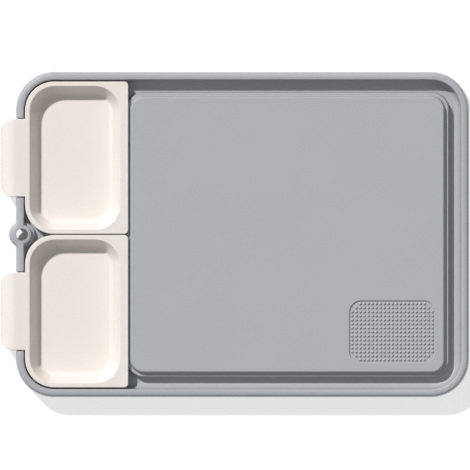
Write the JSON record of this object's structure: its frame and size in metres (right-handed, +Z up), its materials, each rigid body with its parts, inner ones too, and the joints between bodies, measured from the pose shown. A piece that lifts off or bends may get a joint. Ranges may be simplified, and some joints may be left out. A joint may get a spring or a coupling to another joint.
{
  "type": "cutting board with two lift-out trays",
  "caption": "Rounded rectangular cutting board with a juice channel, a grater field, a hanging hole and lift-out food trays whose handles reach over the rim.",
  "frame": {"origin": "on the table, under the middle of the whole board with the handles included", "axes": "+X along the board from the trays to the far end, +Y to the back edge, +Z up"},
  "size_m": [0.4032, 0.28, 0.0225],
  "materials": {
    "shell": "satin moulded grey polypropylene",
    "plate": "fine matt moulded grey plastic, with a cut field of small pointed teeth",
    "tray": "smooth satin cream polypropylene",
    "foot_pad": "matt soft grip rubber"
  },
  "bodies": {
    "board": {"base_shell": "shell", "cutting_plate": "plate", "foot_rear_left": "foot_pad", "foot_rear_middle": "foot_pad", "foot_rear_right": "foot_pad", "foot_front_left": "foot_pad", "foot_front_middle": "foot_pad", "foot_front_right": "foot_pad"},
    "tray_rear": {"tray_rear": "tray"},
    "tray_front": {"tray_front": "tray"}
  },
  "joints": [
    {"name": "tray_rear_lift", "type": "slide", "parent": "board", "child": "tray_rear", "axis": [0, 0, 1], "range_m": [0, 0.04]},
    {"name": "tray_front_lift", "type": "slide", "parent": "board", "child": "tray_front", "axis": [0, 0, 1], "range_m": [0, 0.04]}
  ]
}
